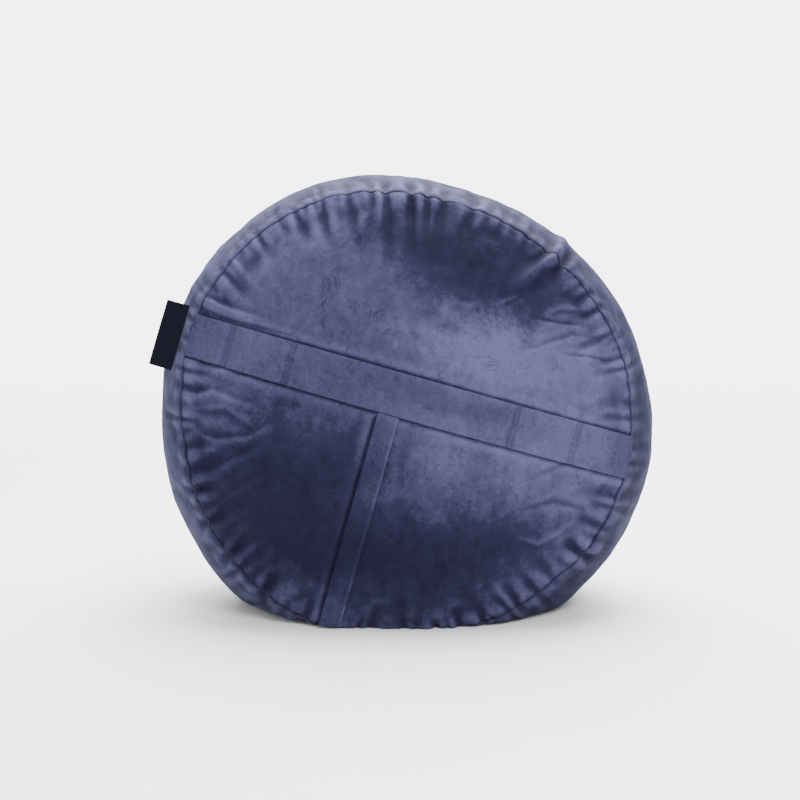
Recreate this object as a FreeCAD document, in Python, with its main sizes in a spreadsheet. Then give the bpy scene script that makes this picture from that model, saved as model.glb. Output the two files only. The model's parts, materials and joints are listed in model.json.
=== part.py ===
# Round foam-filled floor cushion, standing on its edge.
# Frame: +Z up, the handle side faces -Y, the origin is on the floor under the middle of the cushion.
# The body is a barrel (a bulging side band) closed by two domed round panels and flattened where it
# rests. Each layer (plush cover, liner, foam) is the same form, set in by its own amount.
import FreeCAD, Part
import math
import os
import Sketcher
from FreeCAD import Placement, Rotation, Vector

DRIVING_SIZES = {
    # overall form
    "width": 914,             # across the bulging side band
    "depth": 590,             # between the crowns of the two round panels
    "centre_height": 378,     # height of the barrel's axis above the floor
    "band_bulge": 380,        # radius of the side band's bulge
    "crown_radius": 840,      # both round panels are parts of balls of this radius
    "crown_drop": 60,         # the panels' crowns lie this far below the barrel's axis
    # cover, liner and foam
    "plush": 2,
    "liner_inset": 8,
    "liner_cloth": 0.6,
    "foam_room": 3,
    "air": 0.3,               # running clearance between pieces
    # handle strap, in the handle side's own axes (along the strap, up the face, outwards)
    "strap_slope": 15.7,      # degrees, down to the right
    "strap_width": 76,
    "strap_thickness": 4,
    "strap_rise": 46,         # the strap's middle line above the face's middle
    "strap_shift": -12,       # the grip's middle along the strap
    "grip_length": 396,
    "patch_length": 118,      # between the stitch rows of each sewn patch
    "thread": 0.9,
    "row_spacing": 7,         # between the two rows of a double row
    "row_margin": 4,
    # zip and its placket
    "zip_shift": -24,         # the zip's middle along the strap
    "zip_head_gap": 3,        # between the strap's lower edge and the zip's upper end
    "zip_seam_gap": 28,       # between the zip's lower end and the seam
    "zip_opening": 9,         # between the two panel edges
    "coil_gap": 1.2,
    "coil_width": 2.6,
    "coil_height": 2,
    "liner_coil_height": 1.6,
    "tape_width": 12,
    "tape_thickness": 0.6,
    "slider_length": 14,
    "slider_width": 8.4,
    "slider_plate": 1.2,
    "slider_post": 0.6,
    "stop_length": 3,
    "placket_width": 38,
    "placket_thickness": 3,
    "placket_hem": 8,
    "placket_room": 2.6,      # height of the pocket that the slider runs in
    "placket_end_gap": 6,     # between the zip's lower end and the placket's
    # woven side label
    "label_length": 120,
    "label_width": 42,
    "label_thickness": 1.2,
    "label_angle": 160.6,     # degrees round the side, from +X
}

doc = FreeCAD.newDocument("floor_cushion")
sheet = doc.addObject("Spreadsheet::Sheet", "sizes")
for row, (alias, number) in enumerate(DRIVING_SIZES.items(), start=1):
    sheet.set(f"A{row}", alias)
    sheet.set(f"B{row}", str(number))
    sheet.setAlias(f"B{row}", alias)
doc.recompute()

helpers = doc.addObject("App::FeaturePython", "helpers")


def size(expression):
    """The number that an expression on the sheet's cells gives now."""
    return float(helpers.evalExpression(expression))


def bound(kind, name, sizes, placement=None):
    """A document object whose sizes follow expressions on the sheet."""
    feature = doc.addObject(kind, name)
    for prop, expression in sizes.items():
        feature.setExpression(prop, expression)
    if placement is not None:
        feature.Placement = placement
    return feature


# ---- the two crowns, and the handle side's own axes

WIDTH_HALF = size("sizes.width / 2")
CROWN_RADIUS = size("sizes.crown_radius")
BALL_DEPTH = size("sizes.crown_radius - sizes.depth / 2")
BALL_HEIGHT = size("sizes.centre_height - sizes.crown_drop")
FRONT_BALL = Vector(0, BALL_DEPTH, BALL_HEIGHT)
BACK_BALL = Vector(0, -BALL_DEPTH, BALL_HEIGHT)

face_tilt = math.degrees(math.asin(size("sizes.crown_drop / sizes.crown_radius")))
face_turn = Rotation(Vector(1, 0, 0), 90 - face_tilt).multiply(
    Rotation(Vector(0, 0, 1), -size("sizes.strap_slope")))
FACE = Placement(FRONT_BALL, face_turn)


def band_reach(depth):
    """The side band's distance from the barrel's axis, at a depth from the middle."""
    bulge = size("sizes.band_bulge")
    return WIDTH_HALF - bulge + math.sqrt(max(bulge ** 2 - depth ** 2, 0))


def edge_between(inside, near, far):
    """The number between near and far at which inside() stops being true."""
    for _ in range(50):
        middle = (near + far) / 2
        if inside(middle):
            near = middle
        else:
            far = middle
    return near


def seam_point(degrees):
    """Where the side band meets the handle side, at an angle round the cushion."""
    angle = math.radians(degrees)

    def on_band(depth):
        reach = band_reach(depth)
        return Vector(reach * math.cos(angle), -depth, size("sizes.centre_height") + reach * math.sin(angle))

    return on_band(edge_between(lambda depth: (on_band(depth) - FRONT_BALL).Length < CROWN_RADIUS,
                                0, size("sizes.band_bulge")))


def seam_below(shift):
    """How far down the handle side its seam lies, at a shift along the strap."""
    def inside(drop):
        rise = math.sqrt(CROWN_RADIUS ** 2 - shift ** 2 - drop ** 2)
        point = FACE.multVec(Vector(shift, -drop, rise))
        reach = math.hypot(point.x, point.z - size("sizes.centre_height"))
        return reach < band_reach(point.y) and point.z > 0

    return edge_between(inside, 0, WIDTH_HALF)


balls = {}


def ball(centre, offset):
    """A crown's ball, with an offset from its radius; each one is made once."""
    key = (centre.y > 0, offset)
    if key not in balls:
        balls[key] = bound("Part::Sphere", "ball", {"Radius": f"sizes.crown_radius + {offset}"},
                           Placement(centre, Rotation()))
    return balls[key]


def common(name, shapes):
    feature = doc.addObject("Part::MultiCommon", name)
    feature.Shapes = shapes
    return feature


def fused(name, shapes):
    feature = doc.addObject("Part::MultiFuse", name)
    feature.Shapes = shapes
    return feature


def cut(name, base, tool):
    feature = doc.addObject("Part::Cut", name)
    feature.Base = base
    feature.Tool = tool
    return feature


# ---- one form for every layer

def barrel(name, inset):
    """A half-round profile turned about the cushion's own axis: the bulging side band."""
    body = doc.addObject("PartDesign::Body", name)
    sketch = body.newObject("Sketcher::SketchObject", name + "_profile")
    plane = next(f for f in body.Origin.OriginFeatures if f.Role == "XY_Plane")
    sketch.AttachmentSupport = [(plane, "")]
    sketch.MapMode = "FlatFace"
    bulge = size(f"sizes.band_bulge - ({inset})")
    middle = Vector(WIDTH_HALF - size("sizes.band_bulge"), 0, 0)
    circle = Part.Circle(middle, Vector(0, 0, 1), bulge)
    arc = sketch.addGeometry(Part.ArcOfCircle(circle, -math.pi / 2, math.pi / 2))
    corners = [Vector(middle.x, bulge, 0), Vector(0, bulge, 0), Vector(0, -bulge, 0), Vector(middle.x, -bulge, 0)]
    lines = [sketch.addGeometry(Part.LineSegment(a, b)) for a, b in zip(corners, corners[1:])]
    start, end, centre = 1, 2, 3
    x_axis, y_axis, root = -1, -2, -1
    sketch.addConstraint([
        Sketcher.Constraint("DistanceX", root, start, arc, centre, middle.x),
        Sketcher.Constraint("Radius", arc, bulge),
        Sketcher.Constraint("PointOnObject", arc, centre, x_axis),
        Sketcher.Constraint("Tangent", arc, end, lines[0], start),
        Sketcher.Constraint("Tangent", lines[2], end, arc, start),
        Sketcher.Constraint("Coincident", lines[0], end, lines[1], start),
        Sketcher.Constraint("Coincident", lines[1], end, lines[2], start),
        Sketcher.Constraint("PointOnObject", lines[1], start, y_axis),
        Sketcher.Constraint("PointOnObject", lines[1], end, y_axis),
        Sketcher.Constraint("Horizontal", lines[0]),
        Sketcher.Constraint("Horizontal", lines[2]),
    ])
    sketch.setExpression("Constraints[0]", "sizes.width / 2 - sizes.band_bulge")
    sketch.setExpression("Constraints[1]", f"sizes.band_bulge - ({inset})")
    turned = body.newObject("PartDesign::Revolution", name + "_turned")
    turned.Profile = sketch
    turned.ReferenceAxis = (sketch, ["V_Axis"])
    turned.Angle = 360
    body.Placement = Placement(Vector(0, 0, size("sizes.centre_height")), Rotation())
    return body


def room(name, floor):
    """Everything above a floor."""
    reach = "4 * sizes.width"
    corner = Vector(-size(reach) / 2, -size(reach) / 2, size(floor))
    return bound("Part::Box", name, {"Length": reach, "Width": reach, "Height": reach},
                 Placement(corner, Rotation()))


def crowns(inset):
    return [ball(FRONT_BALL, f"-({inset})"), ball(BACK_BALL, f"-({inset})")]


def side(name, inset, floor):
    """The barrel of one layer, set in from the outside and cut off at its own floor."""
    return common(name + "_side", [barrel(name + "_barrel", inset), room(name + "_room", floor)])


def skins(prefix, inset, floor, cloth):
    """A layer of cloth: its two domed skins and the side ring between them."""
    outer_side = side(prefix, inset, floor)
    inner_side = side(prefix + "_inside", f"{inset} + {cloth}", f"{floor} + {cloth}")
    whole = common(prefix + "_whole", [outer_side] + crowns(inset))
    front_ball, back_ball = crowns(f"{inset} + {cloth}")
    front = cut(prefix + "_front_skin", whole, front_ball)
    back = cut(prefix + "_back_skin", whole, back_ball)
    slab = common(prefix + "_slab", [whole] + crowns(f"{inset} + {cloth} + sizes.air"))
    ring = cut(prefix + "_ring", slab, inner_side)
    return outer_side, front, back, ring


# ---- patches of the handle side: curved like it, and cut out along its own axes

def face_block(name, left, right, low, high):
    """A block that stands on the handle side, between four planes in its own axes."""
    corner = Placement(Vector(size(left), size(low), 0), Rotation())
    return bound("Part::Box", name, {
        "Length": f"({right}) - ({left})",
        "Width": f"({high}) - ({low})",
        "Height": "sizes.crown_radius + sizes.depth",
    }, FACE.multiply(corner))


def patch(name, left, right, low, high, inner, outer):
    """A piece of ball skin between two offsets from the crown."""
    skin = cut(name + "_skin", ball(FRONT_BALL, outer), ball(FRONT_BALL, inner))
    return common(name, [skin, face_block(name + "_block", left, right, low, high)])


pieces = []


def keep(feature, label):
    feature.Label = label
    pieces.append(feature)
    return feature


FAR = "sizes.width"
STRAP_LOW = "sizes.strap_rise - sizes.strap_width / 2"
STRAP_HIGH = "sizes.strap_rise + sizes.strap_width / 2"
ZIP = "sizes.zip_shift"
ZIP_TOP = f"{STRAP_LOW} - sizes.zip_head_gap"
ZIP_END = f"sizes.zip_seam_gap - {seam_below(size(ZIP)):.3f}"

# ---- cover

cover_side, handle_skin, seat_skin, band_ring = skins("cover", "0", "0", "sizes.plush")
keep(seat_skin, "seat_panel")
keep(band_ring, "side_band")
upper_block = face_block("upper_block", f"-{FAR}", FAR, "sizes.strap_rise", FAR)
left_block = face_block("left_block", f"-{FAR}", f"{ZIP} - sizes.zip_opening / 2", f"-{FAR}", "sizes.strap_rise")
right_block = face_block("right_block", f"{ZIP} + sizes.zip_opening / 2", FAR, f"-{FAR}", "sizes.strap_rise")
for block, label in ((upper_block, "handle_panel_upper"), (left_block, "handle_panel_left"),
                     (right_block, "handle_panel_right")):
    keep(common(label, [handle_skin, block]), label)

# ---- handle strap: sewn down at both ends, free in the middle

GRIP_LEFT = "sizes.strap_shift - sizes.grip_length / 2"
GRIP_RIGHT = "sizes.strap_shift + sizes.grip_length / 2"
STRAP_TOP = "sizes.air + sizes.strap_thickness"
grip = patch("grip", f"{GRIP_LEFT} + sizes.air", f"{GRIP_RIGHT} - sizes.air", STRAP_LOW, STRAP_HIGH,
             "sizes.air", STRAP_TOP)
keep(grip, "handle_grip")
for hand, left, right in (("left", f"-{FAR}", GRIP_LEFT), ("right", GRIP_RIGHT, FAR)):
    strip = patch(f"strip_{hand}", left, right, STRAP_LOW, STRAP_HIGH, "sizes.air", STRAP_TOP)
    keep(common(f"strap_{hand}", [strip, cover_side]), f"handle_strap_{hand}")

rows = []
for hand, edge, sign in (("left", GRIP_LEFT, "-"), ("right", GRIP_RIGHT, "+")):
    for number, distance in enumerate(("sizes.row_margin", "sizes.row_margin + sizes.row_spacing",
                                       "sizes.patch_length", "sizes.patch_length + sizes.row_spacing")):
        start = f"{edge} {sign} ({distance})"
        rows.append(patch(f"row_{hand}_{number}", start, f"{start} + sizes.thread", STRAP_LOW, STRAP_HIGH,
                          f"{STRAP_TOP} + sizes.air", f"{STRAP_TOP} + sizes.air + sizes.thread"))
strap_rows = doc.addObject("Part::Compound", "strap_rows")
strap_rows.Links = rows
keep(strap_rows, "strap_stitching")

# ---- placket: a folded flap, sewn along its right edge, that hides the zip

PLACKET_LEFT = f"{ZIP} - sizes.placket_width / 2"
PLACKET_RIGHT = f"{ZIP} + sizes.placket_width / 2"
PLACKET_TOP = f"{STRAP_LOW} - sizes.air"
PLACKET_END = f"{ZIP_END} - sizes.placket_end_gap"
PLACKET_FACE = "sizes.placket_room + sizes.placket_thickness"
flap = patch("placket_flap", PLACKET_LEFT, PLACKET_RIGHT, PLACKET_END, PLACKET_TOP,
             "sizes.placket_room", PLACKET_FACE)
foot = patch("placket_foot", f"{PLACKET_RIGHT} - sizes.placket_hem", PLACKET_RIGHT, PLACKET_END, PLACKET_TOP,
             "sizes.air", "sizes.placket_room")
keep(fused("placket", [flap, foot]), "zip_placket")
HEM_ROW = f"{PLACKET_RIGHT} - sizes.placket_hem / 2"
keep(patch("hem_row", HEM_ROW, f"{HEM_ROW} + sizes.thread", PLACKET_END, PLACKET_TOP,
           f"{PLACKET_FACE} + sizes.air", f"{PLACKET_FACE} + sizes.air + sizes.thread"), "placket_stitching")


# ---- zips: tapes under the cloth, coils in the opening, a slider round the coils

def zip_fastener(prefix, cloth_inside, coil_height):
    """One zip. cloth_inside is the offset of the cloth's inner face, where the tapes lie."""
    tape_high = f"{cloth_inside} - sizes.air"
    tape_low = f"{tape_high} - sizes.tape_thickness"
    coil_high = f"{cloth_inside} + {coil_height}"
    for hand, sign in (("left", -1), ("right", 1)):
        near = f"{ZIP} + {sign} * sizes.coil_gap / 2"
        tape_far = f"{near} + {sign} * sizes.tape_width"
        coil_far = f"{near} + {sign} * sizes.coil_width"
        spans = {"tape": [near, tape_far, tape_low, tape_high],
                 "coil": [near, coil_far, tape_high, coil_high]}
        for part, (start, end, inner, outer) in spans.items():
            left, right = (end, start) if sign < 0 else (start, end)
            keep(patch(f"{prefix}_{part}_{hand}_patch", left, right, ZIP_END, ZIP_TOP, inner, outer),
                 f"{prefix}_zip_{part}_{hand}")
    slider_high = f"{ZIP_TOP} - sizes.stop_length - sizes.air"
    slider_low = f"{slider_high} - sizes.slider_length"
    wing = "sizes.slider_width / 2"
    post = "sizes.slider_post / 2"
    top_low = f"{coil_high} + sizes.air"
    bottom_high = f"{tape_low} - sizes.air"
    parts = [
        patch(f"{prefix}_slider_top", f"{ZIP} - {wing}", f"{ZIP} + {wing}", slider_low, slider_high,
              top_low, f"{top_low} + sizes.slider_plate"),
        patch(f"{prefix}_slider_post", f"{ZIP} - {post}", f"{ZIP} + {post}", slider_low, slider_high,
              bottom_high, top_low),
        patch(f"{prefix}_slider_bottom", f"{ZIP} - {wing}", f"{ZIP} + {wing}", slider_low, slider_high,
              f"{bottom_high} - sizes.slider_plate", bottom_high),
    ]
    keep(fused(f"{prefix}_slider", parts), f"{prefix}_zip_slider")
    bridge = "sizes.coil_gap / 2 + sizes.coil_width"
    stops = [patch(f"{prefix}_stop_{place}", f"{ZIP} - ({bridge})", f"{ZIP} + {bridge}", low, high,
                   coil_high, f"{coil_high} + sizes.tape_thickness")
             for place, low, high in (("head", f"{ZIP_TOP} - sizes.stop_length", ZIP_TOP),
                                      ("end", ZIP_END, f"{ZIP_END} + sizes.stop_length"))]
    pair = doc.addObject("Part::Compound", f"{prefix}_stops")
    pair.Links = stops
    keep(pair, f"{prefix}_zip_stops")


zip_fastener("cover", "-sizes.plush", "sizes.coil_height")

# ---- liner and foam

LINER_FLOOR = "sizes.plush + sizes.air"
liner_side, liner_skin, liner_back, liner_ring = skins("liner", "sizes.liner_inset", LINER_FLOOR,
                                                       "sizes.liner_cloth")
slit = face_block("slit", f"{ZIP} - sizes.zip_opening / 2", f"{ZIP} + sizes.zip_opening / 2", ZIP_END, ZIP_TOP)
keep(cut("liner_front_slit", liner_skin, slit), "liner_front")
keep(liner_back, "liner_back")
keep(liner_ring, "liner_band")
zip_fastener("liner", "-sizes.liner_inset - sizes.liner_cloth", "sizes.liner_coil_height")

FOAM_INSET = "sizes.liner_inset + sizes.liner_cloth + sizes.foam_room"
foam_side = side("foam", FOAM_INSET, f"{LINER_FLOOR} + sizes.liner_cloth + sizes.air")
keep(common("foam", [foam_side] + crowns(FOAM_INSET)), "foam_fill")


# ---- woven label in the side seam

label_angle = size("sizes.label_angle")
seam_along = (seam_point(label_angle - 1) - seam_point(label_angle + 1)).normalize()
radial = Vector(math.cos(math.radians(label_angle)), 0, math.sin(math.radians(label_angle)))
label_out = (radial - seam_along * radial.dot(seam_along)).normalize()
label_turn = Rotation(label_out, seam_along.cross(label_out), seam_along, "ZXY")
hinge_reach = size("sizes.label_thickness / 2 + sizes.air")
label_hinge = seam_point(label_angle) + label_out * hinge_reach
label_corner = Vector(0, -size("sizes.label_thickness / 2"), -size("sizes.label_length / 2"))
label_place = Placement(label_hinge, label_turn)
keep(bound("Part::Box", "side_label", {
    "Length": "sizes.label_width",
    "Width": "sizes.label_thickness",
    "Height": "sizes.label_length",
}, label_place.multiply(Placement(label_corner, Rotation()))), "side_label")

# ---- check and write

doc.recompute()
broken = [o.Name for o in doc.Objects if "Invalid" in o.State or "Error" in o.State]
if broken:
    raise RuntimeError(f"these objects failed: {broken}")
for piece in pieces:
    if piece.Shape.isNull() or not piece.Shape.isValid():
        raise RuntimeError(f"{piece.Label} has no valid shape")

os.makedirs("parts", exist_ok=True)
for piece in pieces:
    piece.Shape.exportStep(f"parts/{piece.Label}.step")
    box = piece.Shape.BoundBox
    print(f"{piece.Label}: {len(piece.Shape.Solids)} solids, {piece.Shape.Volume:.0f} mm3, "
          f"x {box.XMin:.1f} to {box.XMax:.1f}, y {box.YMin:.1f} to {box.YMax:.1f}, "
          f"z {box.ZMin:.1f} to {box.ZMax:.1f}")
print("crown axis", tuple(round(c, 3) for c in FACE.Rotation.multVec(Vector(1, 0, 0))),
      "outwards", tuple(round(c, 4) for c in FACE.Rotation.multVec(Vector(0, 0, 1))),
      "ball centre", tuple(FRONT_BALL))
print("label hinge", tuple(round(c, 3) for c in label_hinge), "along", tuple(round(c, 5) for c in seam_along))
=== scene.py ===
import json
import math
import bmesh
import bpy
import numpy as np
from mathutils import Matrix, Vector, noise
from mathutils.bvhtree import BVHTree


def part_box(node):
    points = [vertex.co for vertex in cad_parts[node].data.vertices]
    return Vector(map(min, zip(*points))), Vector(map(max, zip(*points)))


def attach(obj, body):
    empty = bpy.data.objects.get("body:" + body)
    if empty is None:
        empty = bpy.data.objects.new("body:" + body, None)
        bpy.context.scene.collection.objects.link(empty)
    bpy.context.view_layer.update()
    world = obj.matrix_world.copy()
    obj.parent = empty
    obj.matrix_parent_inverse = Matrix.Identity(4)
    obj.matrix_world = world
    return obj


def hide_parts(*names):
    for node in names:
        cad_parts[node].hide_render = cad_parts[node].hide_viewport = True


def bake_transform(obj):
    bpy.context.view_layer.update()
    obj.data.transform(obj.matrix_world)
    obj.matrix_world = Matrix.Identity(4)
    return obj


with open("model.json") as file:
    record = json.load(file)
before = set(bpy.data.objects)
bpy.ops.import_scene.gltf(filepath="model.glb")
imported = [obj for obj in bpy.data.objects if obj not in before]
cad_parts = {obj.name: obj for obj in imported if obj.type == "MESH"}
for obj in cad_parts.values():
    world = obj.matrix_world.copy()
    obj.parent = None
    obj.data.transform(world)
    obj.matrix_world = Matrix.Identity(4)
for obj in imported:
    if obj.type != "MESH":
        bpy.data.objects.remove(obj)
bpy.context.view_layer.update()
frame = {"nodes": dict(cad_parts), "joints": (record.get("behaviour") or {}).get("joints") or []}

# places and sizes that come from the frame

joints = {joint["name"]: joint for joint in frame["joints"]}
outward = np.array(joints["handle_lift"]["axis"])
alongStrap = np.array(joints["cover_zip_run"]["axis"])
upFace = np.cross(outward, alongStrap)
ballCentre = np.array(joints["cover_zip_run"]["pos_m"])
bandLow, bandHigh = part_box("side_band")
seatLow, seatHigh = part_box("seat_panel")

cushion = {
    "halfWidth": (bandHigh.x - bandLow.x) / 2,
    "axisHeight": bandHigh.z - (bandHigh.x - bandLow.x) / 2,
    "bandBulge": 0.380,
    "crownRadius": ballCentre[1] + seatHigh.y,
    # how the settled outline leaves a true circle: cosine and sine shares of one, two and three waves round it
    "settling": [(0.0097, -0.0648), (-0.0011, -0.0149), (0.0183, 0.0004)],
    # how far the middle of the band bellies out, beyond its arc: mean, then cosine and sine shares of the waves
    "belly": (0.0030, [(0.0020, -0.0110), (0.0010, -0.0030), (0.0010, 0.0010)]),
    "floorRounding": 0.006,
    "plush": 0.002,
}
floorLevel = 0.0


def bandReach(depth):
    bulge = cushion["bandBulge"]
    return cushion["halfWidth"] - bulge + np.sqrt(np.maximum(bulge ** 2 - depth ** 2, 0))


def settled(angle):
    share = np.ones_like(angle)
    for wave, (cosine, sine) in enumerate(cushion["settling"], start=1):
        share = share + cosine * np.cos(wave * angle) + sine * np.sin(wave * angle)
    return share


def belly(angle):
    mean, waves = cushion["belly"]
    reach = np.full_like(angle, mean)
    for wave, (cosine, sine) in enumerate(waves, start=1):
        reach = reach + cosine * np.cos(wave * angle) + sine * np.sin(wave * angle)
    return reach


def crownDepth(x, z):
    # depth of the handle side's ball below a place on the face
    under = cushion["crownRadius"] ** 2 - x ** 2 - (z - ballCentre[2]) ** 2
    return ballCentre[1] - np.sqrt(np.maximum(under, 0))


def seamReach(angle):
    # where the unsettled band and the ball meet
    near, far = np.zeros_like(angle), np.full_like(angle, cushion["bandBulge"])
    for _ in range(40):
        depth = (near + far) / 2
        reach = bandReach(depth)
        x, z = reach * np.cos(angle), cushion["axisHeight"] + reach * np.sin(angle)
        inside = crownDepth(x, z) < -depth
        near, far = np.where(inside, depth, near), np.where(inside, far, depth)
    return bandReach(near) * settled(angle)


def floorClamp(z):
    soft = cushion["floorRounding"]
    return floorLevel + soft * np.logaddexp(0, (z - floorLevel) / soft)


def shapeOf(template):
    # template: a cylinder of radius 1 from z = 0 (handle side) to z = -2 (seat side)
    angle = np.arctan2(template[:, 1], template[:, 0])
    share = np.minimum(np.hypot(template[:, 0], template[:, 1]), 1)
    rim = seamReach(angle)
    seamX, seamZ = rim * np.cos(angle), cushion["axisHeight"] + rim * np.sin(angle)
    seamDepth = -crownDepth(seamX, seamZ)
    x, z = share * seamX, cushion["axisHeight"] + share * (seamZ - cushion["axisHeight"])
    depth = -crownDepth(x, z)
    level = template[:, 2]
    across = seamDepth * (1 + np.clip(level, -2, 0))
    onBand = (level < -1e-6) & (level > -2 + 1e-6)
    reach = rim + bandReach(across) - bandReach(seamDepth)
    reach = reach + belly(angle) * np.clip(1 - (across / seamDepth) ** 2, 0, 1)
    x = np.where(onBand, reach * np.cos(angle), x)
    z = np.where(onBand, cushion["axisHeight"] + reach * np.sin(angle), z)
    y = np.where(onBand, -across, np.where(level > -1, -depth, depth))
    return np.stack([x, y, floorClamp(z)], axis=1)


def toFace(points):
    # (along the strap, up the face, height over the ball) of points in space
    away = points - ballCentre
    height = np.linalg.norm(away, axis=1) - cushion["crownRadius"]
    return np.stack([away @ alongStrap, away @ upFace, height], axis=1)


def fromFace(along, up, height):
    along, up, height = np.broadcast_arrays(*(np.asarray(value, float) for value in (along, up, height)))
    radius = cushion["crownRadius"] + height
    rise = np.sqrt(np.maximum(radius ** 2 - along ** 2 - up ** 2, 0))
    return (ballCentre + along[..., None] * alongStrap + up[..., None] * upFace + rise[..., None] * outward)


def coordsOf(mesh):
    flat = np.empty(len(mesh.vertices) * 3)
    mesh.vertices.foreach_get("co", flat)
    return flat.reshape(-1, 3)


def setCoords(mesh, coords):
    mesh.vertices.foreach_set("co", np.ascontiguousarray(coords, dtype=float).ravel())
    mesh.update()


def normalsOf(mesh):
    flat = np.empty(len(mesh.vertices) * 3)
    mesh.vertex_normals.foreach_get("vector", flat)
    return flat.reshape(-1, 3)


def edgesOf(mesh):
    flat = np.empty(len(mesh.edges) * 2, dtype=int)
    mesh.edges.foreach_get("vertices", flat)
    return flat.reshape(-1, 2)


def smoothed(values, edges, rounds):
    # each round replaces a vertex's value by the mean of it and its neighbours
    count = len(values)
    degree = np.bincount(edges.ravel(), minlength=count) + 1.0
    values = values.copy()
    for _ in range(rounds):
        total = values.copy()
        for column in range(values.shape[1]):
            total[:, column] += np.bincount(edges[:, 0], values[edges[:, 1], column], count)
            total[:, column] += np.bincount(edges[:, 1], values[edges[:, 0], column], count)
        values = total / degree[:, None]
    return values


def newObject(name, bm):
    mesh = bpy.data.meshes.new(name)
    for face in bm.faces:
        face.smooth = True
    bm.to_mesh(mesh)
    bm.free()
    piece = bpy.data.objects.new(name, mesh)
    bpy.context.scene.collection.objects.link(piece)
    return piece


def applyModifiers(piece):
    ready = piece.evaluated_get(bpy.context.evaluated_depsgraph_get())
    mesh = bpy.data.meshes.new_from_object(ready)
    old = piece.data
    piece.modifiers.clear()
    piece.data = mesh
    bpy.data.meshes.remove(old)


def smoothStep(value, low, high):
    share = np.clip((value - low) / (high - low), 0, 1)
    return share * share * (3 - 2 * share)


skin = {
    "across": 84,            # cells across the middle of a round panel; four times this many go round
    "innerShare": 0.70,      # the middle's share of the panel's radius
    "panelRings": 15,
    "bandRings": 18,         # from a seam to the middle of the band
    "bandGrading": 1.3,      # rings crowd towards the seam
    "seed": 7,
}


def coverTemplate():
    # one closed drum of radius 1: a round panel, half a band, and their mirror image
    bm = bmesh.new()
    bmesh.ops.create_grid(bm, x_segments=skin["across"], y_segments=skin["across"], size=1)
    for vert in bm.verts:
        x, y = vert.co.x, vert.co.y
        if max(abs(x), abs(y)) < 1e-9:
            continue
        if abs(x) >= abs(y):
            radius, angle = x, math.pi / 4 * y / x
        else:
            radius, angle = y, math.pi / 2 - math.pi / 4 * x / y
        vert.co = Vector((radius * math.cos(angle), radius * math.sin(angle), 0)) * skin["innerShare"]
    rim = [edge for edge in bm.edges if edge.is_boundary]
    rings = skin["panelRings"]
    for ring in range(1, rings + skin["bandRings"] + 1):
        grown = bmesh.ops.extrude_edge_only(bm, edges=rim)["geom"]
        rim = [item for item in grown if isinstance(item, bmesh.types.BMEdge) and item.is_boundary]
        for vert in {vert for edge in rim for vert in edge.verts}:
            flat = Vector((vert.co.x, vert.co.y, 0)).normalized()
            if ring <= rings:
                vert.co = flat * (skin["innerShare"] + (1 - skin["innerShare"]) * ring / rings)
            else:
                vert.co = flat
                vert.co.z = -((ring - rings) / skin["bandRings"]) ** skin["bandGrading"]
    inner = [vert for vert in bm.verts if vert.co.z > -1e-6 and vert.co.xy.length < 0.93]
    for _ in range(40):
        bmesh.ops.smooth_vert(bm, verts=inner, factor=0.5, use_axis_x=True, use_axis_y=True)
    bmesh.ops.translate(bm, verts=bm.verts, vec=(0, 0, 1))      # the middle of the band lies on the mirror
    half = list(bm.verts) + list(bm.edges) + list(bm.faces)
    bmesh.ops.mirror(bm, geom=half, matrix=Matrix(), merge_dist=1e-5, axis="Z")
    bmesh.ops.translate(bm, verts=bm.verts, vec=(0, 0, -1))
    bmesh.ops.recalc_face_normals(bm, faces=bm.faces)
    return bm


def markPanels(piece, level):
    # 0 on the handle side, 1 on the band, 2 on the seat side
    for face in piece.data.polygons:
        middle = level[list(face.vertices)].mean()
        face.material_index = 0 if middle > -1e-4 else 2 if middle < -2 + 1e-4 else 1


def finer(piece, kind):
    # the same mesh with every cell cut in four
    copy = bpy.data.objects.new(piece.name, piece.data.copy())
    bpy.context.scene.collection.objects.link(copy)
    cut = copy.modifiers.new("cut", "SUBSURF")
    cut.subdivision_type = kind
    cut.levels = cut.render_levels = 1
    applyModifiers(copy)
    return copy


def describe(flat):
    # places on the cover's form, and how far each is from its seam
    level = flat[:, 2]
    share = np.minimum(np.hypot(flat[:, 0], flat[:, 1]), 1)
    angle = np.arctan2(flat[:, 1], flat[:, 0])
    rim = seamReach(angle)
    rimDepth = -crownDepth(rim * np.cos(angle), cushion["axisHeight"] + rim * np.sin(angle))
    onBand = (level < -1e-6) & (level > -2 + 1e-6)
    fromSeam = np.where(onBand, -rimDepth * np.minimum(-level, 2 + level), (1 - share) * rim)
    rest = shapeOf(flat)
    return {"flat": flat, "angle": angle, "rim": rim, "share": share, "fromSeam": fromSeam,
            "front": level > -1, "rest": rest, "face": toFace(rest)}


template = newObject("coverForm", coverTemplate())
coarse = describe(coordsOf(template.data))
skinEdges = edgesOf(template.data)
print("cover form", len(coarse["rest"]), "points")

gathers = {
    "frames": 26,
    "pressure": 3.0,
    "slack": -0.035,         # panels and band are cut this much fuller than the form
    "seamShrink": 0.055,     # the seams' thread draws the cloth in
    "roughness": 0.0012,
    "broadRounds": 200,      # what this much smoothing leaves is broad swelling, which the form already has
    "mostLift": 0.006,
    "middleShare": 0.30,     # less of the crumpling stays in the middle of a panel than beside its seam
    "seamShare": 0.75,
}


def namedWeights(piece, name, weights):
    group = piece.vertex_groups.new(name=name)
    for index, weight in enumerate(weights):
        if weight > 0:
            group.add([index], float(weight), "REPLACE")
    return name


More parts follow.
